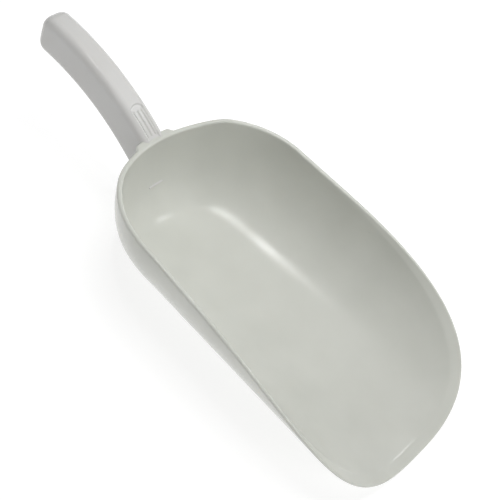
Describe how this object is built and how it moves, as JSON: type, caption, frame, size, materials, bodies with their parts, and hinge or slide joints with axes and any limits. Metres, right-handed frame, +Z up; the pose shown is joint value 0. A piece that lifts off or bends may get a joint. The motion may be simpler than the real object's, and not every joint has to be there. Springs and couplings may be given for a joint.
{
  "type": "ice scoop",
  "caption": "White moulded ice scoop: deep round-backed bowl with a sloping broad lip and a hollow curved handle with a ribbed thumb rest.",
  "frame": {"origin": "on the surface that the scoop lies on, under the centre of its overall length and width", "axes": "+X from the handle to the lip, along the scoop; +Y across its width; +Z up"},
  "size_m": [0.326, 0.1395, 0.0744],
  "materials": {
    "bowl": "gloss",
    "handle": "gloss",
    "handle_cover": "gloss",
    "handle_screws": "machined"
  },
  "bodies": {
    "root": {"bowl": "bowl", "handle": "handle", "handle_cover": "handle_cover", "handle_screws": "handle_screws"}
  },
  "joints": []
}
